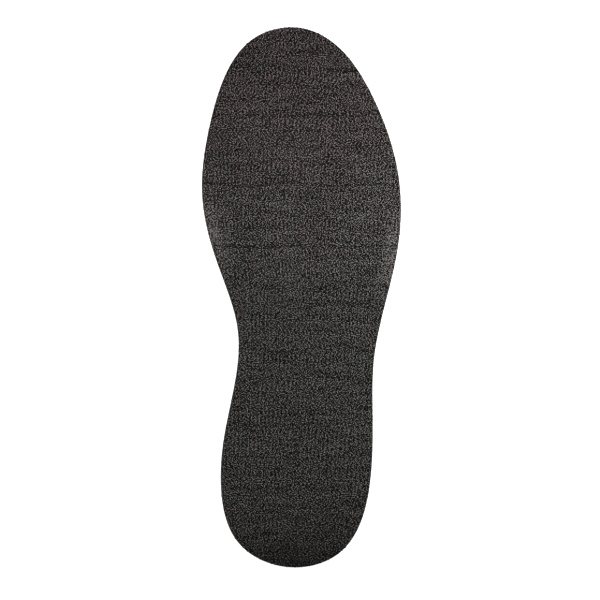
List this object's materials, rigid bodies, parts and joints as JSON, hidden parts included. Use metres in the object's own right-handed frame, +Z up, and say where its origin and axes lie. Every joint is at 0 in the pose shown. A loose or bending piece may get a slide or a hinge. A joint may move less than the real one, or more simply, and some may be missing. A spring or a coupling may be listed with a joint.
{
  "type": "cushioned insole",
  "caption": "Flat cushioned insole for a right shoe: looped knit cover laminated to soft foam over a non-slip backing, bending at the ball of the foot.",
  "frame": {"origin": "centre of the outline's box, on the underside", "axes": "+Z up through the thickness to the foot, +Y to the toes, +X to the outer (lateral) side of the foot"},
  "size_m": [0.1032, 0.2801, 0.005],
  "materials": {
    "cover_knit": "matte",
    "latex_foam": "matte",
    "bond_web": "matte",
    "backing_cloth": "matte"
  },
  "bodies": {
    "rearfoot": {"grip_backing_rearfoot": "backing_cloth", "backing_bond_rearfoot": "bond_web", "cushion_foam_rearfoot": "latex_foam", "cover_bond_rearfoot": "bond_web", "top_cover_rearfoot": "cover_knit"},
    "forefoot": {"grip_backing_forefoot": "backing_cloth", "backing_bond_forefoot": "bond_web", "cushion_foam_forefoot": "latex_foam", "cover_bond_forefoot": "bond_web", "top_cover_forefoot": "cover_knit"}
  },
  "joints": [
    {"name": "ball_flex", "type": "hinge", "parent": "rearfoot", "child": "forefoot", "pos_m": [0, 0.0504, 0.005], "axis": [0.9651, -0.2619, 0], "range_deg": [0, 45], "stiffness_Nm_per_rad": 0.06}
  ]
}
